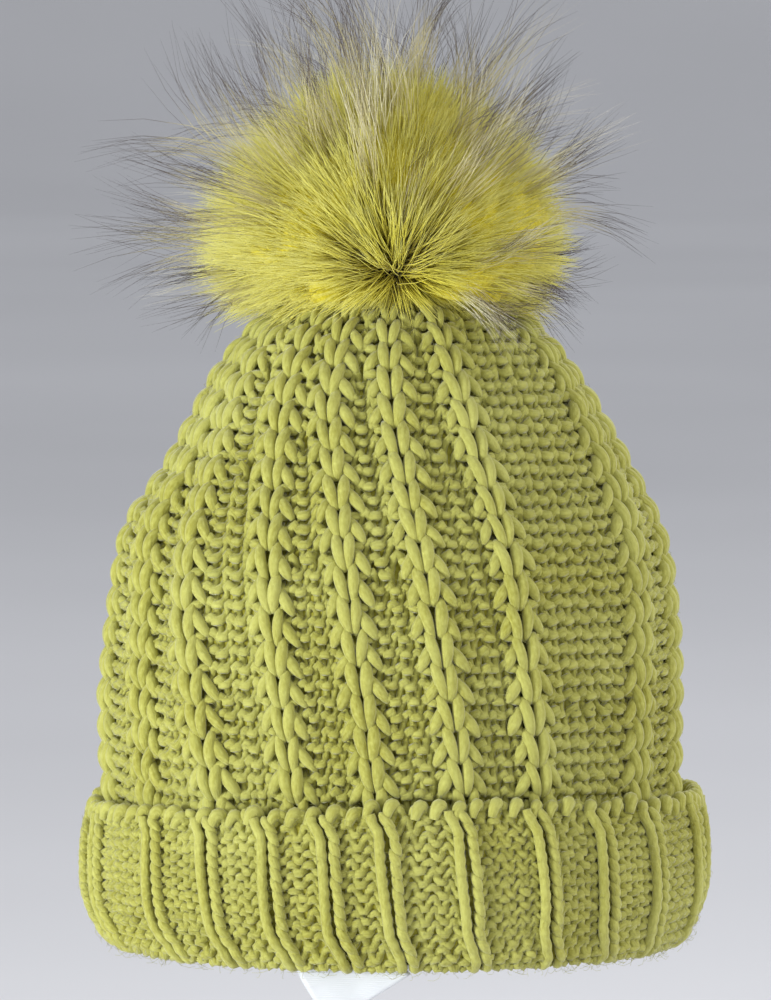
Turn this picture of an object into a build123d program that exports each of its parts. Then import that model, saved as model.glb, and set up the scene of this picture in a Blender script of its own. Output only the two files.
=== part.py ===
from build123d import *
import os
from math import asin, degrees, radians, sin, sqrt

# A chunky knitted beanie with a turned-up ribbed cuff and a fur pom on a sewn press stud.
# Frame: +Z is up as worn, the front faces -Y, +X is to the right of someone looking at the front,
# and the origin is the middle of the head opening, level with the fold at the bottom of the cuff.
# Millimetres.
#
# The knitted parts are turned about Z as if the hat were round, and then flattened front to back
# by DEPTH_RATIO, because a worn beanie is oval.

# Knitted body
DEPTH_RATIO = 0.78  # front-to-back size over side-to-side size
BODY_RADIUS = 104.0  # half the width just above the cuff
BODY_HEIGHT = 238.0  # top of the crown
WALL = 5.5  # thickness of one layer of the knitting
BODY_BOTTOM = 7.0  # where the body meets the piece folded up as the cuff
# The side's corners, as shares of BODY_RADIUS and BODY_HEIGHT, and the radius that rounds each:
# straight sides, the corner where the decreases begin, a slanted crown and a nearly flat top.
BODY_CORNERS = ((1.0, 0.44), (0.93, 0.64), (0.55, 0.925), (0.23, 1.0))
BODY_CORNER_RADII = (300.0, 40.0, 35.0, 40.0)

# Turned-up cuff
CUFF_HEIGHT = 55.0
CUFF_INNER_RADIUS = BODY_RADIUS + 0.5
CUFF_OUTER_RADIUS = 111.0
CAST_ON_HEIGHT = 4.0

# Back seam, a ridge inside the wall
SEAM_WIDTH = 7.0
SEAM_PROUD = 2.5
SEAM_GAP = 0.5  # between the ridge and the wall that it is sewn to
SEAM_TOP = 200.0

# Gathering yarn at the top of the crown
GATHER_RING_RADIUS = 15.0
GATHER_YARN_RADIUS = 1.6

# Sewn press stud, 15 mm across
STUD_DISC_RADIUS = 7.5
STUD_DISC_THICKNESS = 0.8
SOCKET_HUB_RADIUS = 4.2
SOCKET_BORE_RADIUS = 2.15
SOCKET_HEIGHT = 2.8
KNOB_RADIUS = 2.07
NECK_RADIUS = 1.6
SEWING_HOLE_RADIUS = 0.9
SEWING_HOLE_CIRCLE = 5.9
THREAD_RADIUS = 0.4
SOCKET_BASE = BODY_HEIGHT + 0.3
STUD_BASE = SOCKET_BASE + SOCKET_HEIGHT + 0.3
FELT_BASE = STUD_BASE + STUD_DISC_THICKNESS + 0.3
FELT_RADIUS = 11.0
FELT_THICKNESS = 0.7
SHANK_BASE = FELT_BASE + FELT_THICKNESS + 0.35
SHANK_RADIUS = 1.2
SHANK_HEIGHT = 2.0

# Pom
PELT_HALF_WIDTH = 22.0
PELT_HALF_HEIGHT = 14.0
PELT_THICKNESS = 0.9
PELT_CENTRE = SHANK_BASE + SHANK_HEIGHT + 0.6 + PELT_HALF_HEIGHT
GATHER_HOLE_RADIUS = 4.0
GATHER_THREAD_RING = 10.0
FUR_CENTRE = 250.0  # the fur spreads from here
UNDERFUR_RADIUS = 69.0
UNDERFUR_FLOOR = PELT_CENTRE - PELT_HALF_HEIGHT + 1.5
UNDERFUR_SLOPE = 4.0  # degrees that the underside rises outwards, to clear the crown as the pom leans
GUARD_HAIR_REACH = 106.0  # from the fur's centre to the tip of a guard hair, sideways
GUARD_HAIR_REACH_UP = 118.0
GUARD_HAIR_ROOT_RADIUS = 1.4
GUARD_HAIR_TIP_RADIUS = 0.25
# (degrees above the horizontal, hairs in that ring)
GUARD_HAIR_RINGS = ((4.0, 14), (24.0, 13), (44.0, 10), (64.0, 6), (84.0, 2))

# Care label, a folded satin ribbon sewn inside the front of the brim
LABEL_WIDTH = 36.0
LABEL_TOP = 24.0
LABEL_BOTTOM = -18.0
LABEL_THICKNESS = 0.6
LABEL_X = -20.0
LABEL_GAP = 2.2  # from the wall at the middle of the label
LABEL_TACK_COUNT = 5
LABEL_TACK_LENGTH = 5.0


def flatten(shape):
    """Makes a round knitted part oval."""
    return scale(shape, by=(1, DEPTH_RATIO, 1))


def side(inset):
    """The body's side from the brim to the middle of the crown, drawn in by inset all round."""
    radius = BODY_RADIUS - inset
    height = BODY_HEIGHT - inset
    corners = [(r * radius, z * height) for r, z in BODY_CORNERS]
    return FilletPolyline((radius, 0), *corners, (0, height), radius=BODY_CORNER_RADII)


def dome(inset, bottom):
    """The solid inside the body's outline, drawn in by inset all round, above the height bottom."""
    with BuildPart() as part:
        with BuildSketch(Plane.XZ):
            with BuildLine():
                edge = side(inset)
                Polyline(edge @ 1, (0, 0), edge @ 0)
            make_face()
        revolve(axis=Axis.Z)
    above = Pos(0, 0, bottom) * Box(
        4 * BODY_RADIUS, 4 * BODY_RADIUS, 2 * BODY_HEIGHT, align=(Align.CENTER, Align.CENTER, Align.MIN)
    )
    return part.part & above


def ring(inner_radius, outer_radius, bottom, top):
    """A plain upright ring."""
    height = top - bottom
    align = (Align.CENTER, Align.CENTER, Align.MIN)
    tube = Cylinder(outer_radius, height, align=align) - Cylinder(inner_radius, height, align=align)
    return Pos(0, 0, bottom) * tube


def thread_loops(count, circle, bottom, height, length):
    """Short sewing stitches standing on a circle, each along the radius."""
    stitch = Pos(circle, 0, bottom + height / 2) * Box(length, 2 * THREAD_RADIUS, height)
    return Compound(children=[(Rot(0, 0, i * 360 / count + 45) * stitch).solid() for i in range(count)])


def knit_body():
    return flatten(dome(0, BODY_BOTTOM) - dome(WALL, 0))


def turned_up_cuff():
    """The outer layer of the cuff, with the rounded fold that carries it."""
    inner = BODY_RADIUS - WALL
    fold = (CUFF_OUTER_RADIUS - inner) / 2
    middle = inner + fold
    fold_top = BODY_BOTTOM - 0.4
    with BuildPart() as part:
        with BuildSketch(Plane.XZ):
            with BuildLine():
                Line((inner, fold_top), (inner, fold))
                RadiusArc((inner, fold), (middle, 0), -fold)
                RadiusArc((middle, 0), (CUFF_OUTER_RADIUS, fold), -fold)
                Line((CUFF_OUTER_RADIUS, fold), (CUFF_OUTER_RADIUS, CUFF_HEIGHT))
                Line((CUFF_OUTER_RADIUS, CUFF_HEIGHT), (CUFF_INNER_RADIUS, CUFF_HEIGHT))
                Line((CUFF_INNER_RADIUS, CUFF_HEIGHT), (CUFF_INNER_RADIUS, fold_top))
                Line((CUFF_INNER_RADIUS, fold_top), (inner, fold_top))
            make_face()
        revolve(axis=Axis.Z)
    return flatten(part.part)


def cast_on_edge():
    """The thick cast-on round that finishes the top of the cuff."""
    bottom = CUFF_HEIGHT + 0.3
    bead = ring(CUFF_INNER_RADIUS + 0.5, CUFF_OUTER_RADIUS + 1.2, bottom, bottom + CAST_ON_HEIGHT)
    return flatten(fillet(bead.edges().filter_by(GeomType.CIRCLE), 1.6))


def back_seam():
    """The mattress-stitched join, a ridge up the inside of the back."""
    ridge = dome(WALL + SEAM_GAP, BODY_BOTTOM) - dome(WALL + SEAM_GAP + SEAM_PROUD, 0)
    height = SEAM_TOP - BODY_BOTTOM
    band = Box(SEAM_WIDTH, 2 * BODY_RADIUS, height, align=(Align.CENTER, Align.MIN, Align.MIN))
    return flatten(ridge & Pos(0, 0, BODY_BOTTOM) * band)


def crown_gather_yarn():
    return Pos(0, 0, BODY_HEIGHT + GATHER_YARN_RADIUS + 0.3) * Torus(GATHER_RING_RADIUS, GATHER_YARN_RADIUS)


def sewing_holes():
    """Four holes round a press-stud disc."""
    holes = [
        Rot(0, 0, i * 90 + 45) * Pos(SEWING_HOLE_CIRCLE, 0, 0) * Cylinder(SEWING_HOLE_RADIUS, 4 * STUD_BASE)
        for i in range(4)
    ]
    return Compound(children=holes)


def snap_socket():
    """The press stud's female half: a sewn disc with a raised hub and a bore with a spring groove."""
    align = (Align.CENTER, Align.CENTER, Align.MIN)
    disc = Cylinder(STUD_DISC_RADIUS, STUD_DISC_THICKNESS, align=align)
    hub = Cylinder(SOCKET_HUB_RADIUS, SOCKET_HEIGHT, align=align)
    body = disc + hub
    body -= Pos(0, 0, 0.4) * Cylinder(SOCKET_BORE_RADIUS, SOCKET_HEIGHT, align=align)
    body -= Pos(0, 0, SOCKET_HEIGHT - 1.5) * Cylinder(SOCKET_BORE_RADIUS + 0.8, 0.8, align=align)
    return Pos(0, 0, SOCKET_BASE) * body - sewing_holes()


def snap_ring_spring():
    """The split wire ring in the socket's groove that grips the knob."""
    wire = Torus(SOCKET_BORE_RADIUS + 0.4, 0.25) - Pos(SOCKET_BORE_RADIUS, 0, 0) * Box(2, 0.8, 2)
    return Pos(0, 0, SOCKET_BASE + SOCKET_HEIGHT - 1.1) * wire


def snap_stud():
    """The press stud's male half: a sewn disc with a necked knob pointing down."""
    down = (Align.CENTER, Align.CENTER, Align.MAX)
    up = (Align.CENTER, Align.CENTER, Align.MIN)
    disc = Pos(0, 0, STUD_BASE) * Cylinder(STUD_DISC_RADIUS, STUD_DISC_THICKNESS, align=up)
    neck = Pos(0, 0, STUD_BASE) * Cylinder(NECK_RADIUS, 1.6, align=down)
    knob = Pos(0, 0, STUD_BASE - 1.6) * Cylinder(KNOB_RADIUS, 0.9, align=down)
    knob = fillet(knob.edges().filter_by(GeomType.CIRCLE), 0.35)
    return disc + neck + knob - sewing_holes()


def socket_stitches():
    return thread_loops(4, STUD_DISC_RADIUS + 0.9, SOCKET_BASE + 0.1, 0.8, 1.2)


def stud_stitches():
    return thread_loops(4, STUD_DISC_RADIUS + 0.9, STUD_BASE + 0.15, 0.75, 1.2)


def pom_felt_disc():
    felt = Cylinder(FELT_RADIUS, FELT_THICKNESS, align=(Align.CENTER, Align.CENTER, Align.MIN))
    return Pos(0, 0, FELT_BASE) * felt


def pom_thread_shank():
    """The wrapped thread that ties the pelt to the felt, and bends as the pom leans."""
    shank = Cylinder(SHANK_RADIUS, SHANK_HEIGHT, align=(Align.CENTER, Align.CENTER, Align.MIN))
    shank = fillet(shank.edges().filter_by(GeomType.CIRCLE), 0.3)
    return Pos(0, 0, SHANK_BASE) * shank


def ellipsoid(half_width, half_height):
    """A flattened ball about the pelt's centre."""
    return Pos(0, 0, PELT_CENTRE) * scale(Sphere(half_width), by=(1, 1, half_height / half_width))


def pom_pelt():
    """The leather side of the fur, drawn shut round the filling with a small opening below."""
    shell = ellipsoid(PELT_HALF_WIDTH, PELT_HALF_HEIGHT)
    shell -= ellipsoid(PELT_HALF_WIDTH - PELT_THICKNESS, PELT_HALF_HEIGHT - PELT_THICKNESS)
    return shell - Pos(0, 0, PELT_CENTRE - PELT_HALF_HEIGHT) * Cylinder(GATHER_HOLE_RADIUS, PELT_HALF_HEIGHT)


def pom_filling():
    inset = PELT_THICKNESS + 0.3
    return ellipsoid(PELT_HALF_WIDTH - inset, PELT_HALF_HEIGHT - inset)


def pom_gather_thread():
    """The drawstring round the pelt's opening."""
    rise = PELT_HALF_HEIGHT * sqrt(1 - (GATHER_THREAD_RING / PELT_HALF_WIDTH) ** 2)
    return Pos(0, 0, PELT_CENTRE - rise - THREAD_RADIUS - 0.5) * Torus(GATHER_THREAD_RING, THREAD_RADIUS)


def pom_underfur():
    """The dense soft fur, as the dome that it fills above the crown."""
    ball = Pos(0, 0, FUR_CENTRE) * Sphere(UNDERFUR_RADIUS)
    edge_rise = 2 * UNDERFUR_RADIUS * sin(radians(UNDERFUR_SLOPE))
    with BuildPart() as above:
        with BuildSketch(Plane.XZ):
            with BuildLine():
                Polyline(
                    (0, UNDERFUR_FLOOR),
                    (2 * UNDERFUR_RADIUS, UNDERFUR_FLOOR + edge_rise),
                    (2 * UNDERFUR_RADIUS, UNDERFUR_FLOOR + 3 * UNDERFUR_RADIUS),
                    (0, UNDERFUR_FLOOR + 3 * UNDERFUR_RADIUS),
                    close=True,
                )
            make_face()
        revolve(axis=Axis.Z)
    return ball & above.part - ellipsoid(PELT_HALF_WIDTH + 0.3, PELT_HALF_HEIGHT + 0.3)


def guard_hair(turn, rise):
    """One long stiff tuft, from just inside the fur's surface out to its tip."""
    up_share = sin(radians(rise)) ** 2
    reach = GUARD_HAIR_REACH * (1 - up_share) + GUARD_HAIR_REACH_UP * up_share
    root = UNDERFUR_RADIUS - 12.0
    hair = Cone(
        GUARD_HAIR_ROOT_RADIUS,
        GUARD_HAIR_TIP_RADIUS,
        reach - root,
        align=(Align.CENTER, Align.CENTER, Align.MIN),
    )
    return (Pos(0, 0, FUR_CENTRE) * Rot(0, 0, turn) * Rot(0, 90 - rise, 0) * Pos(0, 0, root) * hair).solid()


def pom_guard_hair():
    hairs = []
    for row, (rise, count) in enumerate(GUARD_HAIR_RINGS):
        for i in range(count):
            hairs.append(guard_hair((i + row / 2) * 360 / count, rise))
    return Compound(children=hairs)


def label_place():
    """The middle of the label's sewn edge, and the turn that lays it along the wall there."""
    half_width = BODY_RADIUS - WALL
    half_depth = half_width * DEPTH_RATIO
    along = sqrt(1 - (LABEL_X / half_width) ** 2)
    y = -half_depth * along + LABEL_GAP
    turn = degrees(asin(half_depth * LABEL_X / (half_width**2 * along)))
    return Pos(LABEL_X, y, LABEL_TOP) * Rot(0, 0, turn)


def care_label():
    drop = LABEL_TOP - LABEL_BOTTOM
    ribbon = Box(LABEL_WIDTH, LABEL_THICKNESS, drop, align=(Align.CENTER, Align.CENTER, Align.MAX))
    return label_place() * ribbon


def label_stitches():
    """The bar tacks that hold the label, just above its folded edge."""
    pitch = LABEL_WIDTH / LABEL_TACK_COUNT
    tacks = []
    for i in range(LABEL_TACK_COUNT):
        x = (i - (LABEL_TACK_COUNT - 1) / 2) * pitch
        tack = Pos(x, 0, 3 * THREAD_RADIUS) * Rot(0, 90, 0) * Cylinder(THREAD_RADIUS, LABEL_TACK_LENGTH)
        tacks.append((label_place() * tack).solid())
    return Compound(children=tacks)


NODES = {
    "knit_body": knit_body,
    "turned_up_cuff": turned_up_cuff,
    "cast_on_edge": cast_on_edge,
    "back_seam": back_seam,
    "crown_gather_yarn": crown_gather_yarn,
    "snap_socket": snap_socket,
    "socket_stitches": socket_stitches,
    "snap_ring_spring": snap_ring_spring,
    "snap_stud": snap_stud,
    "stud_stitches": stud_stitches,
    "pom_felt_disc": pom_felt_disc,
    "pom_thread_shank": pom_thread_shank,
    "pom_pelt": pom_pelt,
    "pom_filling": pom_filling,
    "pom_gather_thread": pom_gather_thread,
    "pom_underfur": pom_underfur,
    "pom_guard_hair": pom_guard_hair,
    "care_label": care_label,
    "label_stitches": label_stitches,
}

os.makedirs("parts", exist_ok=True)
for name, make in NODES.items():
    export_step(make(), f"parts/{name}.step")
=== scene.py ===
import math

import bpy
import numpy as np
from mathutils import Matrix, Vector


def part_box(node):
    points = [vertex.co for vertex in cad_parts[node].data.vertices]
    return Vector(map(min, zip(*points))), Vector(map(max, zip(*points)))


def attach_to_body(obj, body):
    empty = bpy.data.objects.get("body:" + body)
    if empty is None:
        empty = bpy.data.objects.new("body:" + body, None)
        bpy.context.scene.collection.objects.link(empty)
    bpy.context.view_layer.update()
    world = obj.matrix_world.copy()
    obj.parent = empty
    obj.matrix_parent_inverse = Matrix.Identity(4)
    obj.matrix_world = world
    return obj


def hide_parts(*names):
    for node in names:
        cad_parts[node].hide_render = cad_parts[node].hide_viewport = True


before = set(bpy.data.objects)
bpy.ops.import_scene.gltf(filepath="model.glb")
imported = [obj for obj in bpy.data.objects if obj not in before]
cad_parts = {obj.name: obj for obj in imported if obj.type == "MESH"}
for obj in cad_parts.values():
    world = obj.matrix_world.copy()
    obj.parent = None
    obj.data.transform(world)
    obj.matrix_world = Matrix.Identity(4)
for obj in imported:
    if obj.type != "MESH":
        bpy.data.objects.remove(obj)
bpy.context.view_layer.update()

# The looks of a chunky knitted beanie with a turned-up cuff and a fur pom.
# Every shape is worked out in millimetres in the CAD frame and turned into metres by make_mesh.
# Angles go round the hat from the middle of its front, positive towards +X.

rng = np.random.default_rng(20)
MM = 0.001

# Sizes taken from the frame
BODY_TOP_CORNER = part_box("knit_body")[1] / MM
BODY_RADIUS = BODY_TOP_CORNER.x
BODY_HEIGHT = BODY_TOP_CORNER.z
DEPTH_RATIO = BODY_TOP_CORNER.y / BODY_RADIUS
CUFF_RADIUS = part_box("turned_up_cuff")[1].x / MM
CUFF_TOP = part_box("turned_up_cuff")[1].z / MM
UNDERFUR_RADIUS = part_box("pom_underfur")[1].x / MM
WALL = 5.5  # thickness of the fabric

# The label's ribbon
LABEL_WIDTH = 34.0
LABEL_DROP = 40.0  # its length when folded double
LABEL_TURN = -9.3  # degrees about the vertical
LABEL_SKEW = 34.0  # degrees at its lower end
LABEL_SHIFT = 6.0  # to the left of its CAD solid
LABEL_DRAPE = 3.5  # how much further in it lies, over the cuff's inner edge

# Gauge of the knitting
ROW = 5.6  # height of a purl row
WALE = 7.1  # width of a stitch
YARN = 1.62  # radius of the yarn in a purl stitch
CHAIN_PITCH = 2 * ROW  # a raised column takes one long stitch for two rows
CHAIN_YARN = 2.2
SINK = 2.4  # the surface that the stitches rise from lies this far inside the CAD's
WAIST = 4.0  # how far the cuff's edge draws in the front and back of the body
COLUMN_HALF_WIDTH = 5.0
CROWN_END_RADIUS = 17.0  # the rows stop here, under the pom

# The raised columns, from the front's left to its right: the angle of each at the cuff, at the
# shoulder and at the top, in degrees. They lean and gather unevenly, as hand knitting does.
FRONT_COLUMNS = (
    (-60.0, -67.0, -71.0),
    (-37.5, -49.5, -60.0),
    (-19.5, -28.0, -38.0),
    (-3.0, -11.0, -23.0),
    (15.5, 5.0, -3.0),
    (31.5, 24.5, 19.0),
    (58.5, 61.5, 72.0),
)
COLUMN_COUNT = 17
COLUMN_HEIGHTS = (0.2, 0.64, 0.9)  # shares of the body's height where those angles hold
COLUMN_EASE = 0.06  # the share of the height over which a column changes its slope

# The ridges of the cuff across its front, in degrees
CUFF_RIDGES = (-75.0, -52.0, -37.5, -24.5, -13.0, -2.0, 12.5, 28.0, 41.5, 56.0, 76.0)
CUFF_RIDGE_COUNT = 24
CUFF_ROW = 4.7
CUFF_WALE = 6.2
CUFF_BULGE = 1.6
CUFF_TAPER = 4.5  # how far it draws in from its middle to its fold
CUFF_TURN_UP = 14.0  # how far it goes back up inside
CUFF_LEAN = 2.6  # degrees that a ridge leans from the top of the cuff to its fold
CAST_ON_LOOPS = 92


def unit(v):
    """Vectors scaled to length one."""
    return v / np.maximum(np.linalg.norm(v, axis=-1, keepdims=True), 1e-9)


def rounded(corners, steps=24):
    """A smooth curve that starts and ends at the end corners and cuts each other corner off."""
    points = np.array(corners, float)
    middles = (points[:-1] + points[1:]) / 2
    middles[0], middles[-1] = points[0], points[-1]
    t = np.linspace(0, 1, steps, endpoint=False)[:, None]
    runs = [
        (1 - t) ** 2 * a + 2 * t * (1 - t) * corner + t**2 * b
        for a, corner, b in zip(middles[:-1], points[1:-1], middles[1:])
    ]
    return np.vstack(runs + [points[-1:]])


def smoothstep(x, low, high):
    """A soft step from 0 at low to 1 at high."""
    t = np.clip((x - low) / (high - low), 0, 1)
    return t * t * (3 - 2 * t)


# ---- meshes ----


def make_mesh(name, vertices, loops, sizes, attributes, material):
    """A smooth-shaded object from flat arrays: vertex places in millimetres, the vertices of each
    face one after another, and how many each face has."""
    mesh = bpy.data.meshes.new(name)
    mesh.vertices.add(len(vertices))
    mesh.vertices.foreach_set("co", (vertices * MM).astype(np.float32).ravel())
    mesh.loops.add(len(loops))
    mesh.loops.foreach_set("vertex_index", loops.astype(np.int32))
    mesh.polygons.add(len(sizes))
    starts = np.concatenate([[0], np.cumsum(sizes)[:-1]])
    mesh.polygons.foreach_set("loop_start", starts.astype(np.int32))
    mesh.update(calc_edges=True)
    mesh.validate()
    mesh.shade_smooth()
    for key, values in attributes.items():
        kind, field = ("FLOAT_VECTOR", "vector") if values.ndim == 2 else ("FLOAT", "value")
        layer = mesh.attributes.new(key, kind, "POINT")
        layer.data.foreach_set(field, values.astype(np.float32).ravel())
    mesh.materials.append(material)
    made = bpy.data.objects.new(name, mesh)
    bpy.context.scene.collection.objects.link(made)
    return made


class Strands:
    """Collects tubes that become one piece: yarn, thread or hair."""

    def __init__(self, sides):
        self.sides = sides
        self.parts = []
        self.count = 0

    def add(self, paths, normals, radii, tones):
        """paths and normals are (tubes, points, 3), radii is (tubes, points), and tones is one
        number for each tube, which its material reads."""
        tubes, points, _ = paths.shape
        sides = self.sides
        tangent = unit(np.gradient(paths, axis=1))
        across = unit(np.cross(tangent, normals))
        up = np.cross(across, tangent)
        turn = 2 * np.pi * (np.arange(sides) / sides) - np.pi / 2
        ring = np.cos(turn)[:, None] * across[:, :, None] + np.sin(turn)[:, None] * up[:, :, None]
        vertices = paths[:, :, None] + radii[:, :, None, None] * ring
        steps = np.linalg.norm(np.diff(paths, axis=1), axis=2)
        length = np.concatenate([np.zeros((tubes, 1)), np.cumsum(steps, axis=1)], axis=1)
        shape = (tubes, points, sides)
        fibre = np.stack(
            [
                np.broadcast_to(np.cos(turn), shape),
                np.broadcast_to(np.sin(turn), shape),
                np.broadcast_to((length + 37 * tones[:, None])[:, :, None], shape),
            ],
            axis=-1,
        )
        along = np.broadcast_to((length / np.maximum(length[:, -1:], 1e-6))[:, :, None], shape)
        tone = np.broadcast_to(tones[:, None, None], shape)
        index = np.arange(tubes * points * sides).reshape(shape) + self.count
        a, b = index[:, :-1], index[:, 1:]
        walls = np.stack([a, np.roll(a, -1, 2), np.roll(b, -1, 2), b], axis=-1)
        caps = np.concatenate([index[:, 0, ::-1], index[:, -1]])
        self.parts.append((vertices, fibre, along, tone, walls, caps))
        self.count += tubes * points * sides

    def build(self, name, material):
        vertices, fibre, along, tone, walls, caps = zip(*self.parts)
        quads = np.concatenate([w.reshape(-1, 4) for w in walls])
        ends = np.concatenate(caps)
        loops = np.concatenate([quads.ravel(), ends.ravel()])
        sizes = np.concatenate([np.full(len(quads), 4), np.full(len(ends), self.sides)])
        attributes = {
            "fibre": np.concatenate([f.reshape(-1, 3) for f in fibre]),
            "along": np.concatenate([f.ravel() for f in along]),
            "tone": np.concatenate([f.ravel() for f in tone]),
        }
        places = np.concatenate([v.reshape(-1, 3) for v in vertices])
        return make_mesh(name, places, loops, sizes, attributes, material)


def grid_mesh(name, places, closed, material):
    """A surface from a (rows, columns, 3) grid, joined round its columns if closed."""
    rows, columns, _ = places.shape
    index = np.arange(rows * columns).reshape(rows, columns)
    right = np.roll(index, -1, 1)
    last = columns if closed else columns - 1
    quads = np.stack([index[:-1], right[:-1], right[1:], index[1:]], axis=-1)[:, :last].reshape(-1, 4)
    flat = places.reshape(-1, 3)
    return make_mesh(name, flat, quads.ravel(), np.full(len(quads), 4), {}, material)


# ---- materials ----


class Nodes:
    """A material whose node tree is built by short calls."""

    def __init__(self, name, roughness, sheen=0.0, specular=0.3):
        self.material = bpy.data.materials.new(name)
        self.material.use_nodes = True
        self.tree = self.material.node_tree
        self.shader = self.tree.nodes["Principled BSDF"]
        self.shader.inputs["Roughness"].default_value = roughness
        self.shader.inputs["Specular IOR Level"].default_value = specular
        self.shader.inputs["Sheen Weight"].default_value = sheen
        self.shader.inputs["Sheen Roughness"].default_value = 0.5

    def add(self, kind, **settings):
        node = self.tree.nodes.new(kind)
        for key, value in settings.items():
            setattr(node, key, value)
        return node

    def link(self, out, into):
        self.tree.links.new(out, into)

    def attribute(self, name, output="Fac"):
        return self.add("ShaderNodeAttribute", attribute_name=name).outputs[output]

    def noise(self, vector, scale, detail=3.0, stretch=(1, 1, 1)):
        mapping = self.add("ShaderNodeMapping")
        mapping.inputs["Scale"].default_value = stretch
        self.link(vector, mapping.inputs["Vector"])
        node = self.add("ShaderNodeTexNoise")
        node.inputs["Scale"].default_value = scale
        node.inputs["Detail"].default_value = detail
        self.link(mapping.outputs["Vector"], node.inputs["Vector"])
        return node.outputs["Fac"]

    def ramp(self, factor, *stops):
        """A colour ramp; each stop is (place, colour)."""
        node = self.add("ShaderNodeValToRGB")
        points = node.color_ramp.elements
        while len(points) < len(stops):
            points.new(0.5)
        for point, (place, colour) in zip(points, stops):
            point.position = place
            point.color = (*colour, 1)
        self.link(factor, node.inputs["Fac"])
        return node.outputs["Color"]

    def mix(self, factor, a, b, blend="MIX"):
        node = self.add("ShaderNodeMix", data_type="RGBA", blend_type=blend)
        for socket, value in ((node.inputs[0], factor), (node.inputs[6], a), (node.inputs[7], b)):
            if isinstance(value, (int, float)):
                socket.default_value = value
            elif isinstance(value, tuple):
                socket.default_value = (*value, 1)
            else:
                self.link(value, socket)
        return node.outputs[2]

    def colour(self, socket):
        self.link(socket, self.shader.inputs["Base Color"])

    def bump(self, height, distance, strength=1.0):
        node = self.add("ShaderNodeBump")
        node.inputs["Distance"].default_value = distance
        node.inputs["Strength"].default_value = strength
        self.link(height, node.inputs["Height"])
        self.link(node.outputs["Normal"], self.shader.inputs["Normal"])

    def object_place(self):
        return self.add("ShaderNodeTexCoord").outputs["Object"]


def srgb(red, green, blue):
    """A linear colour from the 0 to 255 numbers of a screen colour."""
    shares = (c / 255 for c in (red, green, blue))
    return tuple(((c + 0.055) / 1.055) ** 2.4 if c > 0.04045 else c / 12.92 for c in shares)


def yarn_material():
    """Soft, loosely spun lime wool: streaks along the yarn, a felted grain, and slow colour drift."""
    nodes = Nodes("lime_yarn_knit", 0.8, sheen=0.35, specular=0.15)
    fibre = nodes.attribute("fibre", "Vector")
    streaks = nodes.noise(fibre, 2.2, 4.0, (1.0, 1.0, 0.22))
    place = nodes.object_place()
    drift = nodes.noise(place, 28.0, 3.0)
    grain = nodes.noise(place, 1500.0, 2.0)
    base = nodes.ramp(streaks, (0.3, srgb(158, 153, 58)), (0.72, srgb(190, 189, 98)))
    patches = nodes.ramp(drift, (0.35, (0, 0, 0)), (0.7, (0.5, 0.5, 0.5)))
    base = nodes.mix(patches, base, srgb(200, 200, 116))
    tone = nodes.ramp(nodes.attribute("tone"), (0.0, (0.88, 0.88, 0.84)), (1.0, (1.0, 1.0, 1.0)))
    nodes.colour(nodes.mix(1.0, base, tone, "MULTIPLY"))
    nodes.bump(nodes.mix(0.35, streaks, grain), 0.0006, 0.8)
    return nodes.material


def plain_yarn_material(name, low, high, scale):
    """Yarn or thread on a CAD piece, with its ply as fine bands."""
    nodes = Nodes(name, 0.8, sheen=0.3, specular=0.2)
    place = nodes.object_place()
    wave = nodes.add("ShaderNodeTexWave", wave_type="BANDS", bands_direction="DIAGONAL")
    wave.inputs["Scale"].default_value = scale
    wave.inputs["Distortion"].default_value = 1.5
    nodes.link(place, wave.inputs["Vector"])
    nodes.colour(nodes.ramp(wave.outputs["Fac"], (0.1, low), (0.9, high)))
    nodes.bump(wave.outputs["Fac"], 0.0004)
    return nodes.material


def felt_material(name, low, high, scale=900.0):
    """Matted fibres, for felt, filling and the fur's root mat."""
    nodes = Nodes(name, 0.95, sheen=0.2, specular=0.1)
    mat = nodes.noise(nodes.object_place(), scale, 6.0)
    nodes.colour(nodes.ramp(mat, (0.3, low), (0.7, high)))
    nodes.bump(mat, 0.0005)
    return nodes.material


def metal_material():
    """Brushed nickel of the press stud."""
    nodes = Nodes("nickel_brushed", 0.35, specular=0.5)
    nodes.shader.inputs["Metallic"].default_value = 1.0
    marks = nodes.noise(nodes.object_place(), 900.0, 3.0, (1, 1, 8))
    nodes.colour(nodes.ramp(marks, (0.3, srgb(168, 166, 160)), (0.7, srgb(205, 203, 198))))
    nodes.bump(marks, 0.0001, 0.4)
    return nodes.material


def leather_material():
    """The tanned side of the pelt."""
    nodes = Nodes("pelt_leather", 0.7, specular=0.3)
    place = nodes.object_place()
    grain = nodes.add("ShaderNodeTexVoronoi")
    grain.inputs["Scale"].default_value = 700.0
    nodes.link(place, grain.inputs["Vector"])
    cells = grain.outputs["Distance"]
    nodes.colour(nodes.ramp(cells, (0.1, srgb(170, 168, 96)), (0.6, srgb(205, 202, 140))))
    nodes.bump(cells, 0.0003)
    return nodes.material


def underfur_material():
    """Silky dyed fur, deeper at its roots."""
    nodes = Nodes("lime_underfur", 0.55, sheen=0.2, specular=0.25)
    along = nodes.attribute("along")
    base = nodes.ramp(
        along,
        (0.0, srgb(176, 158, 34)),
        (0.35, srgb(208, 194, 52)),
        (0.75, srgb(226, 216, 84)),
        (1.0, srgb(236, 230, 134)),
    )
    tone = nodes.ramp(nodes.attribute("tone"), (0.0, (0.78, 0.78, 0.7)), (1.0, (1.0, 1.0, 1.0)))
    nodes.colour(nodes.mix(1.0, base, tone, "MULTIPLY"))
    return nodes.material


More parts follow.
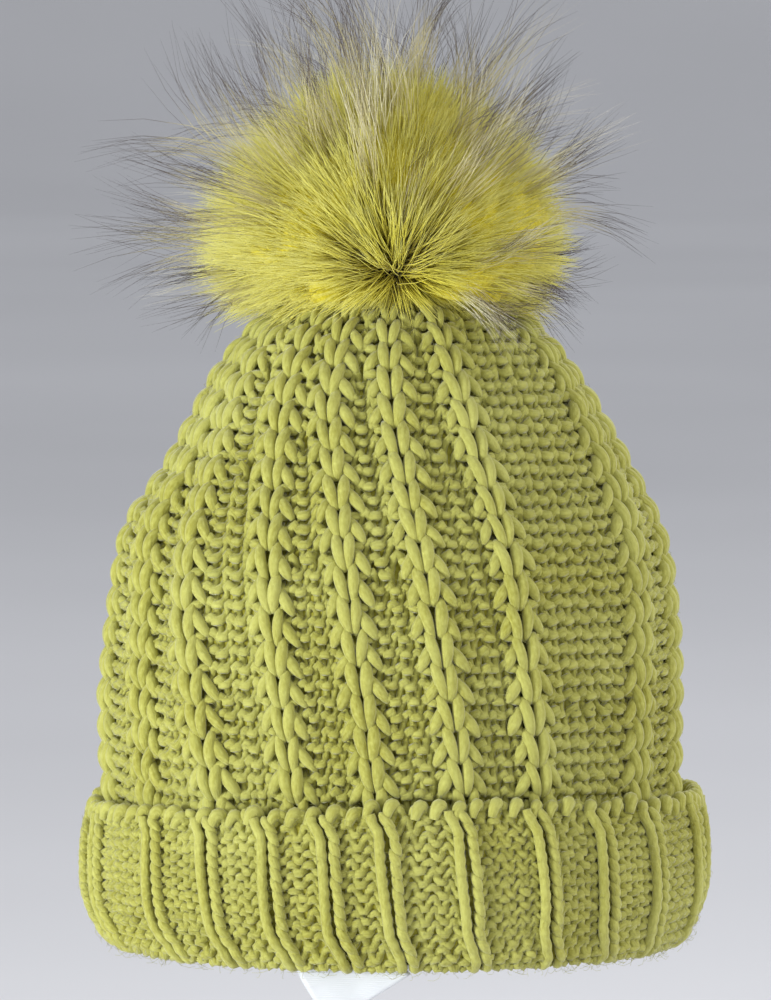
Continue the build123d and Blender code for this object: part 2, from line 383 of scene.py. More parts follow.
def guard_hair_material():
    """Long guard hairs: dyed roots, cream middles and dark tips, and a few tufts pale to the end."""
    nodes = Nodes("guard_hair", 0.5, specular=0.35)
    along = nodes.attribute("along")
    base = nodes.ramp(
        along,
        (0.0, srgb(190, 180, 50)),
        (0.34, srgb(176, 164, 92)),
        (0.5, srgb(204, 194, 138)),
        (0.66, srgb(206, 196, 152)),
        (0.76, srgb(92, 80, 74)),
        (1.0, srgb(60, 54, 58)),
    )
    pale = nodes.ramp(
        along,
        (0.0, srgb(200, 190, 70)),
        (0.6, srgb(226, 220, 184)),
        (1.0, srgb(214, 208, 196)),
    )
    is_pale = nodes.ramp(nodes.attribute("tone"), (0.84, (0, 0, 0)), (0.88, (1, 1, 1)))
    nodes.colour(nodes.mix(is_pale, base, pale))
    return nodes.material


def satin_material():
    """White woven satin ribbon with a fine rib across it."""
    nodes = Nodes("label_satin", 0.4, sheen=0.2, specular=0.5)
    wave = nodes.add("ShaderNodeTexWave", wave_type="BANDS", bands_direction="Z")
    wave.inputs["Scale"].default_value = 420.0
    nodes.link(nodes.object_place(), wave.inputs["Vector"])
    soil = nodes.noise(nodes.object_place(), 60.0)
    nodes.colour(nodes.ramp(soil, (0.3, srgb(212, 214, 218)), (0.7, srgb(224, 226, 230))))
    nodes.bump(wave.outputs["Fac"], 0.0001, 0.6)
    return nodes.material


def stage_material():
    """The pale matte surface all round."""
    nodes = Nodes("pale_backdrop", 0.9, specular=0.1)
    mottle = nodes.noise(nodes.object_place(), 1.2, 2.0)
    nodes.colour(nodes.ramp(mottle, (0.3, srgb(210, 210, 212)), (0.7, srgb(217, 217, 219))))
    return nodes.material


YARN_LOOK = yarn_material()
# The backing's colour: the same yarn, darker than the stitches as painted shade in the gaps between them.
BACKING_PAINTED_SHADE_LOOK = felt_material("lime_yarn_ground_painted_shade", srgb(150, 144, 48), srgb(182, 177, 76), 600.0)

# ---- the body's surface ----

# Half of the body's outline from its brim to the middle of its crown, as shares of radius and height
MERIDIAN = rounded(
    [
        (BODY_RADIUS * r, BODY_HEIGHT * z)
        for r, z in (
            (0.99, 0.0),
            (0.968, 0.22),
            (0.98, 0.42),
            (0.942, 0.60),
            (0.838, 0.69),
            (0.545, 0.92),
            (0.23, 1.0),
            (0.0, 1.0),
        )
    ]
)
MERIDIAN_LENGTH = np.concatenate([[0], np.cumsum(np.linalg.norm(np.diff(MERIDIAN, axis=0), axis=1))])

# Soft folds in the fabric: (angle and height of the middle, spread in degrees and mm, how far out)
FOLDS = (
    (-46.0, 110.0, 9.0, 70.0, 4.0),
    (-58.0, 120.0, 7.0, 60.0, -2.5),
    (-88.0, 80.0, 26.0, 34.0, 3.0),
    (-76.0, 150.0, 14.0, 16.0, 2.0),
    (-82.0, 180.0, 16.0, 22.0, -3.0),
    (42.0, 120.0, 14.0, 50.0, -1.5),
    (8.0, 110.0, 8.0, 60.0, 1.5),
    (-20.0, 170.0, 12.0, 30.0, 1.2),
    (66.0, 160.0, 8.0, 22.0, 2.0),
    (150.0, 120.0, 14.0, 60.0, 2.5),
    (-140.0, 130.0, 12.0, 60.0, -2.0),
)


def meridian(s):
    """Half-width and height at a distance s up the side, and how both change with s."""
    step = 2.0
    places = (s, s + step, s - step)
    r, r_ahead, r_behind = (np.interp(x, MERIDIAN_LENGTH, MERIDIAN[:, 0]) for x in places)
    z, z_ahead, z_behind = (np.interp(x, MERIDIAN_LENGTH, MERIDIAN[:, 1]) for x in places)
    return r, z, (r_ahead - r_behind) / (2 * step), (z_ahead - z_behind) / (2 * step)


def distance_up(z):
    """The distance up the side at a height."""
    return float(np.interp(z, MERIDIAN[:, 1], MERIDIAN_LENGTH))


def relief(angle, z):
    """How far the fabric stands out of the plain oval."""
    out = np.zeros_like(z)
    for middle, height, spread, tall, amount in FOLDS:
        turn = (np.degrees(angle) - middle + 180) % 360 - 180
        out = out + amount * np.exp(-((turn / spread) ** 2) - ((z - height) / tall) ** 2)
    # The cuff's edge draws the front and back of the body in.
    waist = smoothstep(z, CUFF_TOP + 10.0, CUFF_TOP - 8.0)
    waist = waist * smoothstep(z, CUFF_TOP - 34.0, CUFF_TOP - 16.0)
    return out - SINK - WAIST * np.cos(angle) ** 2 * waist


def oval_frame(angle, r, dr, dz):
    """The oval's outward normal, and how far one radian round it is."""
    sin, cos = np.sin(angle), np.cos(angle)
    zero = np.zeros_like(sin * r)
    round_way = np.stack([r * cos, DEPTH_RATIO * r * sin, zero], axis=-1)
    up_way = np.stack([dr * sin, -DEPTH_RATIO * dr * cos, dz + zero], axis=-1)
    return unit(np.cross(round_way, up_way)), np.linalg.norm(round_way, axis=-1)


def body_speed(angle, s):
    """How many mm one radian is round the body."""
    r, _, dr, dz = meridian(s)
    return oval_frame(angle, r, dr, dz)[1]


def on_body(angle, s, depth):
    """The places and outward normals of points on the body, depth in front of its surface."""
    r, z, dr, dz = meridian(s)
    normal, _ = oval_frame(angle, r, dr, dz)
    place = np.stack([r * np.sin(angle), -DEPTH_RATIO * r * np.cos(angle), z + 0 * angle], axis=-1)
    return place + normal * (depth + relief(angle, z))[..., None], normal


def column_angles():
    """The three angles of each column, the front ones as listed and the rest evenly behind."""
    front = np.array(FRONT_COLUMNS)
    rest = COLUMN_COUNT - len(front)
    steps = np.arange(1, rest + 1) / (rest + 1)
    gap = front[0] + 360 - front[-1]
    wobble = rng.uniform(-2.0, 2.0, (rest, 3))
    return np.radians(np.vstack([front, front[-1] + steps[:, None] * gap + wobble]))


COLUMNS = column_angles()


def column_angle(k, s):
    """Where column k stands at a distance s up the side."""
    _, z, _, _ = meridian(s)
    turns, k = divmod(k, COLUMN_COUNT)
    share = z / BODY_HEIGHT
    shares = (share, share + COLUMN_EASE, share - COLUMN_EASE)
    angle, above, below = (np.interp(x, COLUMN_HEIGHTS, COLUMNS[k]) for x in shares)
    return (angle + (above + below)) / 3 + turns * 2 * np.pi


# ---- the knitting ----

# The stitches start behind the cuff, where it hides them.
BODY_START = distance_up(CUFF_TOP - 19.0)
BODY_END = float(np.interp(-CROWN_END_RADIUS, -MERIDIAN[:, 0], MERIDIAN_LENGTH))
ROW_COUNT = int((BODY_END - BODY_START) / ROW)


def purl_path(stitches, per_stitch=9):
    """The parameter along one stretch of a purl row, from leg to leg."""
    return np.linspace(-np.pi / 2, 2 * np.pi * stitches + np.pi / 2, per_stitch * stitches + 6)


def uneven(rows, t, amount):
    """Random numbers that change slowly along each row, one for each half stitch."""
    knots = np.arange(math.floor(t[0] / np.pi), math.ceil(t[-1] / np.pi) + 1) * np.pi
    values = rng.normal(0, amount, (rows, len(knots)))
    return np.stack([np.interp(t, knots, row) for row in values])


def purl_ground():
    """The purl rows between the columns: heads and sinkers stand out and the legs pass behind."""
    bands = [Strands(6) for _ in range(3)]
    for k in range(COLUMN_COUNT):
        groups = {}
        for row in range(ROW_COUNT):
            s = BODY_START + row * ROW
            left, right = column_angle(k, s), column_angle(k + 1, s)
            width = (right - left) * body_speed((left + right) / 2, np.array(s)) - 2 * COLUMN_HALF_WIDTH
            groups.setdefault(max(1, round(float(width) / WALE)), []).append((row, s, left, right))
        for stitches, rows in groups.items():
            t = purl_path(stitches)
            index, s, left, right = (np.array(column)[:, None] for column in zip(*rows))
            margin = COLUMN_HALF_WIDTH / body_speed(left, s)
            start, end = left + margin, right - COLUMN_HALF_WIDTH / body_speed(right, s)
            share = t / (2 * np.pi * stitches) + 0.05 / stitches * np.sin(2 * t)
            share = share + uneven(len(rows), t, 0.05 / stitches)
            angle = start + (end - start) * share
            height = 0.68 * ROW * (1 + uneven(len(rows), t, 0.08))
            up = s - height * np.cos(t) + uneven(len(rows), t, 0.22) + 0.7 * np.sin(3 * angle + 1.0)
            depth = 0.2 + 1.7 * np.cos(2 * t) + uneven(len(rows), t, 0.2)
            places, normals = on_body(angle, up, depth)
            crowd = np.clip((end - start) * body_speed(left, s) / (stitches * WALE), 0.6, 1.15)
            fullness = 1 + 0.12 * np.cos(2 * t) + uneven(len(rows), t, 0.06)
            radii = YARN * crowd**0.5 * fullness + 0 * angle
            tones = rng.uniform(0, 1, len(rows))
            band = index[:, 0] * 3 // ROW_COUNT
            for b in range(3):
                pick = band == b
                if pick.any():
                    bands[b].add(places[pick], normals[pick], radii[pick], tones[pick])
    return [band.build(f"purl_ground_{i + 1}", YARN_LOOK) for i, band in enumerate(bands)]


def stitch_strands(strands, k, s, sideways, up, depth, radii, loose=0.25):
    """Adds one strand of column k for each row start in s. sideways, up, depth and radii are
    profiles along the strand, in mm from the column's middle, from s, and from the surface."""
    rows = len(s)
    distance = s[:, None] + up + rng.normal(0, loose, (rows, 1))
    angle = column_angle(k, distance)
    shift = sideways + rng.normal(0, loose, (rows, 1))
    shift = shift + np.linspace(-1, 1, len(sideways)) * rng.normal(0, loose, (rows, 1))
    angle = angle + shift / body_speed(angle, distance)
    places, normals = on_body(angle, distance, depth + rng.normal(0, loose / 2, (rows, 1)) + 0 * angle)
    crowd = np.clip(body_speed(angle, distance) / 60.0, 0.62, 1.0)
    sizes = radii * (1 + rng.normal(0, 0.05, (rows, 1))) * crowd
    strands.add(places, normals, sizes, rng.uniform(0.35, 1, rows))


def long_stitches():
    """The raised columns: a chain of long V stitches, each over two rows."""
    strands = Strands(8)
    t = np.linspace(0, 1, 11)
    # Each leg starts as a point low in the middle and ends spread and tucked under the next V.
    sideways = 0.85 + 2.3 * t**0.8
    up = -1.2 + (CHAIN_PITCH + 2.6) * t
    depth = 0.9 + 2.8 * np.sin(np.pi * (0.10 + 0.84 * t))
    radii = CHAIN_YARN * (0.34 + 0.7 * np.sin(np.pi * (0.07 + 0.8 * t)))
    s = np.arange(BODY_START, BODY_END - CHAIN_PITCH * 0.6, CHAIN_PITCH)
    for k in range(COLUMN_COUNT):
        start = s + rng.uniform(0, CHAIN_PITCH / 2)
        for side in (-1, 1):
            stitch_strands(strands, k, start, side * sideways, up, depth, radii)
    return strands.build("column_chains", YARN_LOOK)


def flank_stitches():
    """The slanted legs that fan out and down from both sides of each column."""
    strands = Strands(8)
    t = np.linspace(0, 1, 9)
    sideways = 3.2 + 5.2 * t
    up = CHAIN_PITCH * 0.78 - 9.4 * t
    depth = 1.0 + 1.5 * np.sin(np.pi * (0.1 + 0.75 * t))
    radii = 2.15 * np.sin(np.pi * (0.18 + 0.7 * t**1.15)) + 0.1
    s = np.arange(BODY_START, BODY_END - CHAIN_PITCH * 1.2, CHAIN_PITCH)
    for k in range(COLUMN_COUNT):
        for side in (-1, 1):
            start = s + rng.uniform(0, CHAIN_PITCH / 2)
            stitch_strands(strands, k, start, side * sideways, up, depth, radii, loose=0.35)
    return strands.build("column_flanks", YARN_LOOK)


def body_backing():
    """The inner face of the fabric, which closes the gaps between the stitches. It is coloured darker than
    the yarn, as painted shade in those gaps.
    """
    s = np.linspace(distance_up(3.0), BODY_END + 14.0, 110)
    angle = np.linspace(0, 2 * np.pi, 240, endpoint=False)
    angle, s = np.meshgrid(angle, s)
    wave = 0.3 * np.cos(2 * np.pi * s / ROW) * np.cos(48 * angle)
    outer, _ = on_body(angle, s, -1.0 + wave)
    inner, _ = on_body(angle, s, SINK - WALL + wave)
    skin = np.concatenate([outer, inner[::-1]])
    return grid_mesh("knit_backing", skin, True, BACKING_PAINTED_SHADE_LOOK)


# ---- the cuff ----

CUFF_FOLD = 0.8 * (CUFF_RADIUS - BODY_RADIUS + WALL) / 2
CUFF_SIDE = CUFF_TOP + 3.0 - CUFF_FOLD  # length of its straight side, down to the fold
CUFF_LENGTH = CUFF_SIDE + np.pi * CUFF_FOLD + CUFF_TURN_UP


def cuff_edge(angle):
    """How the cuff's edge dips at the sides of the hat and waves a little between the ribs."""
    dip = -2.5 - 6.0 * np.sin(angle) ** 2 + 1.6 * np.sin(angle)
    return dip + 0.7 * np.sin(2 * angle + 0.6) + 0.6 * np.sin(5 * angle)


def on_cuff(angle, s, depth):
    """Places and normals on the cuff, s down from its top edge, round the fold and up inside."""
    turn = np.clip((s - CUFF_SIDE) / CUFF_FOLD, 0, np.pi)
    inside = np.maximum(s - CUFF_SIDE - np.pi * CUFF_FOLD, 0)
    bulge = CUFF_BULGE * np.sin(np.pi * np.clip(s / CUFF_SIDE, 0, 1)) - 0.8 * smoothstep(s, 14, 0)
    # It draws in towards its fold, and inside it lies back against the body.
    bulge = bulge - 1.2 - CUFF_TAPER * smoothstep(s, 34, 64) + 3.5 * turn / np.pi
    r = CUFF_RADIUS - YARN - CUFF_FOLD + CUFF_FOLD * np.cos(turn) + bulge
    straight = CUFF_SIDE + CUFF_FOLD - s
    folded = CUFF_FOLD - CUFF_FOLD * np.sin(turn)
    z = np.where(s < CUFF_SIDE, straight, folded) + inside + 0.6
    z = z + cuff_edge(angle) * np.clip(1 - s / CUFF_SIDE, 0, 1)
    level = np.cos(turn)
    outward, _ = oval_frame(angle, r, 0 * r, 1 + 0 * r)
    down = np.stack([0 * r, 0 * r, -np.sin(turn)], axis=-1)
    normal = unit(outward * level[..., None] + down)
    place = np.stack([r * np.sin(angle), -DEPTH_RATIO * r * np.cos(angle), z + 0 * angle], axis=-1)
    return place + normal * (depth + 0 * angle)[..., None], normal


def cuff_speed(angle):
    """How many mm one radian is round the cuff."""
    return oval_frame(angle, np.array(CUFF_RADIUS), 0.0, 1.0)[1]


def cuff_ridges():
    """The angle of every ridge, the front ones as listed and the rest evenly behind."""
    front = np.array(CUFF_RIDGES)
    rest = CUFF_RIDGE_COUNT - len(front)
    steps = np.arange(1, rest + 1) / (rest + 1)
    behind = front[-1] + steps * (front[0] + 360 - front[-1]) + rng.uniform(-1, 1, rest)
    return np.radians(np.concatenate([front, behind, [front[0] + 360]]))


RIDGES = cuff_ridges()


def lean(s):
    """How far a ridge has leant round the hat, s down from the top edge."""
    share = np.clip(s / (CUFF_SIDE + CUFF_FOLD), 0, 1)
    degrees = CUFF_LEAN * (share - 0.5) + 2.0 * smoothstep(share, 0.75, 1.0)
    return np.radians(degrees - 1.5 * smoothstep(share, 0.15, 0.0))


def cuff_strand(strands, k, s, sideways, depth, radii):
    """Adds strands that run down the cuff beside ridge k."""
    angle = RIDGES[k] + lean(s) + sideways / cuff_speed(RIDGES[k])
    depth = depth * (1 - 0.75 * smoothstep(s, CUFF_SIDE - 5, CUFF_SIDE + CUFF_FOLD))
    places, normals = on_cuff(angle, s, depth)
    strands.add(places, normals, radii, rng.uniform(0.5, 1, len(s)))


def cuff_rib_strands():
    """One smooth ridge and one twisted, rope-like wale for each rib of the cuff."""
    strands = Strands(8)
    long_way = np.linspace(0, CUFF_LENGTH, 70)[None]
    t = np.linspace(0, 1, 7)
    starts = np.arange(-1.0, CUFF_LENGTH - CUFF_ROW, CUFF_ROW)[:, None]
    for k in range(CUFF_RIDGE_COUNT):
        beat = np.sin(2 * np.pi * long_way / CUFF_ROW + rng.uniform(0, 6))
        wander = 0.4 * np.sin(long_way / 9.0 + rng.uniform(0, 6))
        cuff_strand(strands, k, long_way, wander + 0.12 * beat, 2.6 + 0 * long_way, 1.9 + 0.12 * beat)
        jitter = rng.normal(0, 0.2, (len(starts), 1))
        slant = -1.3 + 2.6 * t + jitter + 4.9
        down = np.maximum(starts + (CUFF_ROW + 2.6) * t, 0)
        depth = 0.9 + 1.8 * np.sin(np.pi * (0.1 + 0.8 * t)) + jitter / 2
        radii = 0.2 + 1.65 * np.sin(np.pi * (0.1 + 0.8 * t)) + 0 * down
        cuff_strand(strands, k, down, slant, depth, radii)
    return strands.build("cuff_ribs_yarn", YARN_LOOK)


def cuff_purl():
    """The flatter purl rows between the cuff's ribs."""
    strands = Strands(6)
    rows = int(CUFF_LENGTH / CUFF_ROW)
    s = (np.arange(rows) * CUFF_ROW + 1.0)[:, None]
    for k in range(CUFF_RIDGE_COUNT):
        # The rows run from past the rope-like wale to just before the next ridge.
        speed = cuff_speed(RIDGES[k])
        start, end = RIDGES[k] + 6.6 / speed, RIDGES[k + 1] - 0.8 / cuff_speed(RIDGES[k + 1])
        stitches = max(1, round(float((end - start) * speed) / CUFF_WALE))
        t = purl_path(stitches)
        share = t / (2 * np.pi * stitches) + 0.04 / stitches * np.sin(2 * t)
        share = share + uneven(rows, t, 0.05 / stitches)
        angle = start + (end - start) * share + lean(s)
        down = s + 0.46 * CUFF_ROW * np.cos(t) * (1 + uneven(rows, t, 0.15)) + uneven(rows, t, 0.25)
        depth = -0.1 + 1.0 * np.cos(2 * t) + uneven(rows, t, 0.15)
        places, normals = on_cuff(angle, down, depth)
        radii = 1.55 * (1 + uneven(rows, t, 0.07))
        strands.add(places, normals, radii, rng.uniform(0, 1, rows))
    return strands.build("cuff_purl_yarn", YARN_LOOK)


def cast_on_loops():
    """The chunky loops of the cast-on edge, each over the top of the cuff."""
    strands = Strands(8)
    count = CAST_ON_LOOPS
    t = np.linspace(0, 1, 11)
    middle = np.linspace(0, 2 * np.pi, count, endpoint=False)[:, None]
    middle = middle + rng.normal(0, 0.008, (count, 1))
    sideways = -2.2 + 4.4 * t + rng.normal(0, 0.3, (count, 1))
    down = 4.4 * (2 * t - 1) ** 2 - 1.4 + rng.normal(0, 0.6, (count, 1))
    depth = 2.3 - 5.0 * t**1.3 + 0.7 * np.sin(np.pi * t)
    angle = middle + sideways / cuff_speed(middle)
    places, normals = on_cuff(angle, np.maximum(down, 0), depth + 0 * down)
    places[..., 2] += np.maximum(-down, 0) * 1.2
    radii = 2.3 * (0.62 + 0.4 * np.sin(np.pi * t)) * (1 + rng.normal(0, 0.09, (count, 1)))
    strands.add(places, normals, radii, rng.uniform(0.3, 1, count))
    return strands.build("cast_on_loops", YARN_LOOK)


def cuff_backing():
    """The fabric behind the cuff's stitches, as one closed band, coloured darker than the yarn as painted
    shade between the stitches.
    """
    s = np.linspace(1.0, CUFF_LENGTH, 60)
    angle = np.linspace(0, 2 * np.pi, 240, endpoint=False)
    angle, s = np.meshgrid(angle, s)
    wave = 0.3 * np.cos(2 * np.pi * s / CUFF_ROW) * np.cos(48 * angle)
    outer, _ = on_cuff(angle, s, -0.7 + wave)
    inner, _ = on_cuff(angle, s, -2.4 + wave)
    ring = np.concatenate([outer, inner[::-1], outer[:1]])
    return grid_mesh("cuff_backing", ring, True, BACKING_PAINTED_SHADE_LOOK)


def wool_fuzz():
    """Fine loose fibres that lift off the yarn, as a soft halo."""
    strands = Strands(3)
    t = np.linspace(0, 1, 4)
    regions = (
        (on_body, 8500, BODY_START, BODY_END - 12),
        (on_cuff, 3600, 0.0, CUFF_LENGTH - 16),
    )
    for surface, count, low, high in regions:
        angle = rng.uniform(0, 2 * np.pi, (count, 1))
        s = rng.uniform(low, high, (count, 1))
        direction = rng.normal(0, 1, (count, 2))
        length = rng.uniform(2.0, 6.5, (count, 1))
        across = direction[:, :1] * length * t * 0.5 + 0.7 * np.sin(3 * t + 6 * direction[:, :1])
        up = direction[:, 1:] * length * t * 0.5
        lift = 2.2 + rng.uniform(0.4, 3.0, (count, 1)) * np.sin(np.pi * 0.6 * t)
        places, normals = surface(angle + across / 80.0, np.maximum(s + up, 0), lift + 0 * up)
        aside = unit(np.cross(normals, [0.3, 0.2, 0.9]))
        strands.add(places, aside, 0.055 + 0 * up, rng.uniform(0.8, 1, count))
    return strands.build("wool_fuzz", YARN_LOOK)


# ---- the pom ----

FUR_CENTRE = np.array([0.0, 0.0, 247.0])  # the hairs spread from here
FUR_MAT_RADIUS = 47.0


def sphere_directions(count, lowest):
    """Random directions down to lowest degrees above the horizontal."""
    z = rng.uniform(math.sin(math.radians(lowest)), 1, count)
    turn = rng.uniform(0, 2 * np.pi, count)
    flat = np.sqrt(1 - z * z)
    return np.stack([flat * np.cos(turn), flat * np.sin(turn), z], axis=-1)


def hairs(
    strands, tufts, reach, tones, *, per_tuft, rings, root, spread, gather, bend, droop, sweep, thickness
):
    """Adds tufts of hairs that spread from the fur's centre. Each tuft has a direction, a reach and a
    tone; its hairs start spread apart, gather towards its tip, and bend and droop together."""
    count = len(tufts) * per_tuft
    t = np.linspace(0, 1, rings)[None, :, None]
    lead = np.repeat(tufts, per_tuft, axis=0)[:, None]
    start = unit(lead + rng.normal(0, spread, (count, 1, 3)))
    # Hairs that point straight forwards fall open from a parting, as a brushed pom's do.
    aside = unit(lead * [1, 0, 1] + [0, 0, 0.12])
    lead = unit(lead + aside * sweep * np.maximum(-lead[..., 1:2], 0) ** 1.5 * t**1.4)
    curl = np.repeat(rng.normal(0, bend, (len(tufts), 1, 3)), per_tuft, axis=0)
    curl = curl + rng.normal(0, bend * 0.35, (count, 1, 3))
    way = unit(start * (1 - gather * t) + lead * gather * t + curl * t**2)
    far = np.repeat(reach, per_tuft)[:, None, None] * rng.uniform(0.86, 1.03, (count, 1, 1))
    distance = root + (far - root) * t
    places = FUR_CENTRE + way * distance
    places[..., 2] -= (droop * (1 - np.abs(lead[..., 2])) * t[..., 0] ** 2.5) * far[..., 0]
    facing = unit(np.cross(lead, [0.31, 0.17, 0.93])) + 0 * places
    radii = (1 - 0.88 * t[..., 0] ** 2) * thickness * rng.uniform(0.8, 1.2, (count, 1))
    hair_tones = np.repeat(tones, per_tuft) + rng.normal(0, 0.02, count)
    strands.add(places, facing, radii, np.clip(hair_tones, 0, 1))


def underfur():
    """The dense dyed fur, in three pieces."""
    look = underfur_material()
    made = []
    for i, root in enumerate((20.0, 24.0, 28.0)):
        strands = Strands(3)
        tufts = sphere_directions(1050, -24.0)
        below = smoothstep(-tufts[:, 2], -0.05, 0.35)
        front = np.maximum(-tufts[:, 1], 0)
        trim = 1 - 0.06 * tufts[:, 0] - 0.08 * below - 0.4 * below * front
        reach = UNDERFUR_RADIUS * rng.uniform(0.9, 1.05, len(tufts)) * trim
        hairs(
            strands,
            tufts,
            reach,
            rng.uniform(0, 1, len(tufts)),
            per_tuft=8,
            rings=4,
            root=root,
            spread=0.06,
            gather=0.55,
            bend=0.06,
            droop=0.03,
            sweep=0.6,
            thickness=0.32,
        )
        made.append(strands.build(f"underfur_{i + 1}", look))
    return made


def guard_hairs():
    """The long tufts, longest to the left and up, and shorter to the right and low down."""
    strands = Strands(3)
    low_right = unit(np.array([0.8, -0.4, -0.36]) + rng.normal(0, 0.12, (9, 3)))
    tufts = np.concatenate([sphere_directions(125, -14.0), low_right])
    reach = 98.0 - 9.0 * tufts[:, 0] + 14.0 * np.maximum(tufts[:, 2], 0)
    reach = reach - 26.0 * smoothstep(-tufts[:, 2], 0.0, 0.3)
    reach = reach * rng.uniform(0.82, 1.1, len(tufts))
    # The low ones at the front are short, so that they hang less over the crown.
    reach = reach * (1 - 0.4 * np.maximum(-tufts[:, 1] - 0.5, 0) * (tufts[:, 2] < 0.1))
    hairs(
        strands,
        tufts,
        reach,
        rng.uniform(0, 1, len(tufts)),
        per_tuft=20,
        rings=7,
        root=24.0,
        spread=0.07,
        gather=0.9,
        bend=0.14,
        droop=0.07,
        sweep=1.1,
        thickness=0.16,
    )
    return strands.build("guard_hairs", guard_hair_material())


def fur_mat():
    """The felted depth of the fur, which the eye meets between the hairs."""
    rows, columns = 40, 72
    rise = np.linspace(-0.20, 1.0, rows)[:, None] * np.pi / 2
    turn = np.linspace(0, 2 * np.pi, columns, endpoint=False)[None]
    lumps = 1.6 * np.sin(9 * turn + 5 * rise) * np.cos(7 * rise) + 1.2 * np.sin(23 * turn - 11 * rise)
    radius = FUR_MAT_RADIUS + lumps * np.cos(rise)
    # It is hollow behind the parting at the front, and shallower low down.
    forward = -np.cos(rise) * np.sin(turn)
    radius = radius + 9.0 - 26.0 * smoothstep(forward, 0.8, 1.0)
    radius = radius - 10.0 * smoothstep(-np.sin(rise), -0.1, 0.3)
    level = radius * np.cos(rise)
    places = np.stack([level * np.cos(turn), level * np.sin(turn), radius * np.sin(rise)], axis=-1)
    places = places + FUR_CENTRE
    floor = places[:1] * [0.5, 0.5, 1.0]
    look = felt_material("fur_roots", srgb(186, 170, 38), srgb(220, 206, 66))
    return grid_mesh("fur_mat", np.concatenate([floor, places]), True, look)


# ---- the label ----


def care_label():
    """A blank satin ribbon, folded double, hanging askew inside the front of the brim."""
    low, high = (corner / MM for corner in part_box("care_label"))
    width, drop = LABEL_WIDTH, LABEL_DROP
    turn = math.radians(LABEL_TURN)
    rows, columns, gap = 60, 19, 0.55
    # The ribbon runs up its back layer, round the fold at its lower end and up its front layer.
    run = np.linspace(-drop, drop, rows)[:, None]
    hang = drop - np.sqrt(run**2 + 1.5)
    layer = gap * np.tanh(run / 2.0) * (0.4 + 0.6 * np.cos(np.pi * run / (2 * drop)))
    across = np.linspace(-width / 2, width / 2, columns)[None]
    share = hang / drop
    skew = np.radians(LABEL_SKEW) * (0.35 + 0.65 * share)
    side = hang * np.sin(skew * 0.8) + across * np.cos(skew)
    fall = hang * np.cos(skew * 0.8) - across * np.sin(skew) * smoothstep(share, 0.0, 0.6)
    out = layer + 1.2 * share**2 * np.sin(across / 9.0) - LABEL_DRAPE * smoothstep(share, 0.02, 0.3)
    middle = (low + high) / 2
    places = np.stack(
        [
            middle.x - LABEL_SHIFT + side * math.cos(turn) + out * math.sin(turn),
            middle.y + side * math.sin(turn) - out * math.cos(turn),
            high.z - 1.0 - fall,
        ],
        axis=-1,
    )
    made = grid_mesh("care_label_ribbon", places, False, satin_material())
    solid = made.modifiers.new("thickness", "SOLIDIFY")
    solid.thickness = 0.00018
    solid.offset = 0
    return made, width * MM, 2 * drop * MM


# ---- the stage, camera and lights ----


def backdrop():
    """A wide pale floor that curves up into a wall all round."""
    floor, wall, curve = -260.0, 11000.0, 2500.0
    side = [(r, floor) for r in (0.0, 2500.0, 5500.0, wall - curve)]
    side += [
        (wall - curve + curve * math.sin(a), floor + curve - curve * math.cos(a))
        for a in np.linspace(0.1, math.pi / 2, 12)
    ]
    side = np.array(side)
    turn = np.linspace(0, 2 * np.pi, 96, endpoint=False)
    r, z = side[:, :1], side[:, 1:]
    places = np.stack([r * np.sin(turn), r * np.cos(turn), z + 0 * turn], axis=-1)
    grid_mesh("backdrop", places, True, stage_material())


def aim(thing, target):
    """Turns a camera or light towards a place."""
    thing.rotation_euler = (Vector(target) - thing.location).to_track_quat("-Z", "Y").to_euler()


def camera():
    """The photograph's view: from the front, a little above, upright frame."""
    elevation = math.radians(5.5)
    distance = 3.2
    target = Vector((-0.0034, 0.0, 0.1588))
    view_height = 0.360
    data = bpy.data.cameras.new("camera")
    data.sensor_width = 36.0
    data.lens = data.sensor_width * distance / view_height
    made = bpy.data.objects.new("camera", data)
    made.location = target + distance * Vector((0, -math.cos(elevation), math.sin(elevation)))
    bpy.context.scene.collection.objects.link(made)
    aim(made, target)
    bpy.context.scene.camera = made


def area_light(name, place, target, size, watts, colour):
    """A round light of a given diameter, in metres, that faces its target."""
    data = bpy.data.lights.new(name, "AREA")
    data.shape = "DISK"
    data.size = size
    data.energy = watts
    data.color = colour
    made = bpy.data.objects.new(name, data)
    made.location = place
    bpy.context.scene.collection.objects.link(made)
    aim(made, target)


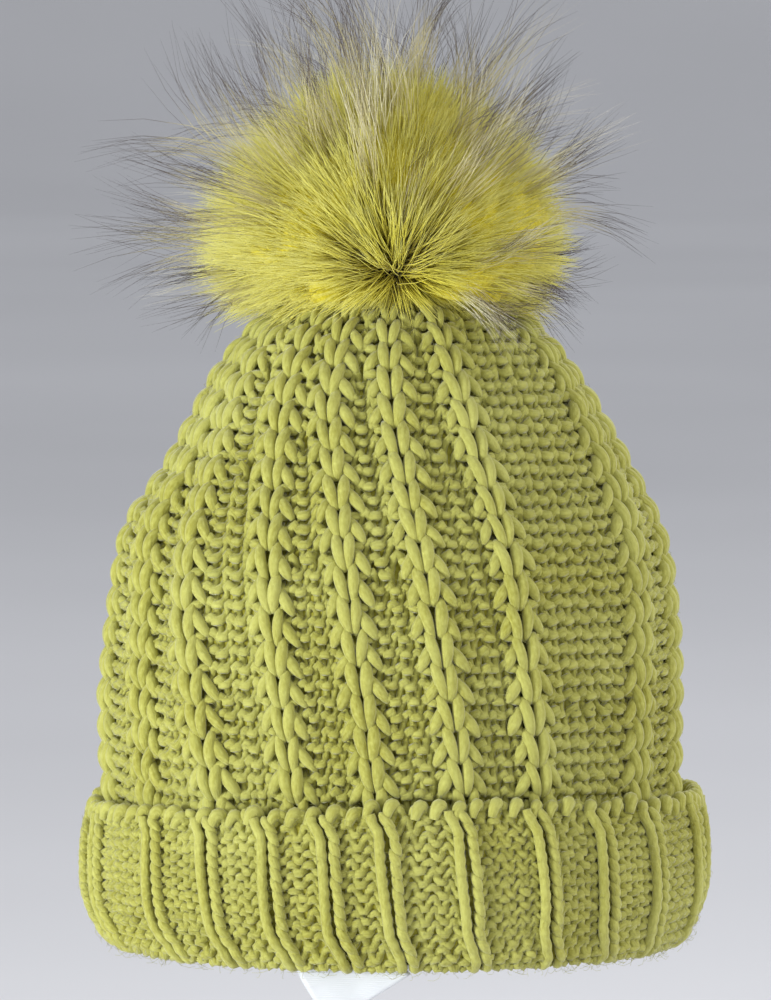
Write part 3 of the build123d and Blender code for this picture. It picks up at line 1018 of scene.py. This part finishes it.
def lights():
    """A soft window at the left, weaker fills, and a wash on the floor behind."""
    middle = (0, 0, 0.15)
    area_light("window", (-1.15, -0.85, 0.05), middle, 0.4, 18.0, (0.96, 1.0, 1.0))
    area_light("fill", (1.0, -1.5, 0.9), middle, 1.2, 5.5, (1.0, 0.98, 0.96))
    area_light("side", (1.3, -0.3, 0.35), middle, 0.7, 6.0, (1.0, 1.0, 1.0))
    area_light("back", (0.4, 1.3, 1.2), middle, 1.2, 8.0, (1.0, 1.0, 1.0))
    area_light("floor_wash", (0.5, 2.2, 1.6), (0.1, 2.2, -0.26), 1.6, 12.0, (0.98, 0.98, 1.0))
    world = bpy.data.worlds.new("studio")
    world.use_nodes = True
    world.node_tree.nodes["Background"].inputs["Color"].default_value = (0.93, 0.95, 1.0, 1)
    world.node_tree.nodes["Background"].inputs["Strength"].default_value = 0.62
    bpy.context.scene.world = world
    bpy.context.scene.view_settings.view_transform = "Standard"


# ---- put together ----


def attach(piece, body, slot, *nodes):
    """Fixes a piece to its body, with the CAD nodes that it stands for. The slot is not used."""
    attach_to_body(piece, body)
    if nodes:
        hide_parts(*nodes)


camera()
backdrop()
lights()

grounds = purl_ground()
attach(grounds[0], "hat", "lime_yarn", "knit_body")
for piece in grounds[1:] + [long_stitches(), flank_stitches(), body_backing(), wool_fuzz()]:
    attach(piece, "hat", "lime_yarn")
attach(cuff_rib_strands(), "hat", "lime_yarn", "turned_up_cuff")
attach(cuff_purl(), "hat", "lime_yarn")
attach(cuff_backing(), "hat", "lime_yarn")
attach(cast_on_loops(), "hat", "lime_yarn", "cast_on_edge")

for piece in underfur():
    attach(piece, "pom", "lime_fur")
attach(fur_mat(), "pom", "lime_fur", "pom_underfur")
attach(guard_hairs(), "pom", "guard_hair", "pom_guard_hair")

label, label_width, label_length = care_label()
attach(label, "label", "label_satin", "care_label")

SEAM_LOW, SEAM_HIGH = srgb(165, 165, 70), srgb(205, 206, 110)
METAL = metal_material()
THREAD = plain_yarn_material("sewing_thread", srgb(150, 152, 50), srgb(190, 192, 90), 900.0)
CAD_LOOKS = {
    "back_seam": plain_yarn_material("seam_yarn", SEAM_LOW, SEAM_HIGH, 160.0),
    "crown_gather_yarn": plain_yarn_material("gather_yarn", SEAM_LOW, SEAM_HIGH, 220.0),
    "snap_socket": METAL,
    "snap_ring_spring": METAL,
    "snap_stud": METAL,
    "socket_stitches": THREAD,
    "stud_stitches": THREAD,
    "pom_thread_shank": THREAD,
    "pom_gather_thread": THREAD,
    "label_stitches": plain_yarn_material("label_thread", srgb(215, 215, 212), srgb(240, 240, 238), 900.0),
    "pom_felt_disc": felt_material("lime_felt", srgb(140, 140, 40), srgb(178, 178, 76)),
    "pom_pelt": leather_material(),
    "pom_filling": felt_material("fibre_filling", srgb(214, 212, 206), srgb(244, 243, 240)),
}
for node, look in CAD_LOOKS.items():
    for material_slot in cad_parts[node].material_slots:
        material_slot.material = look
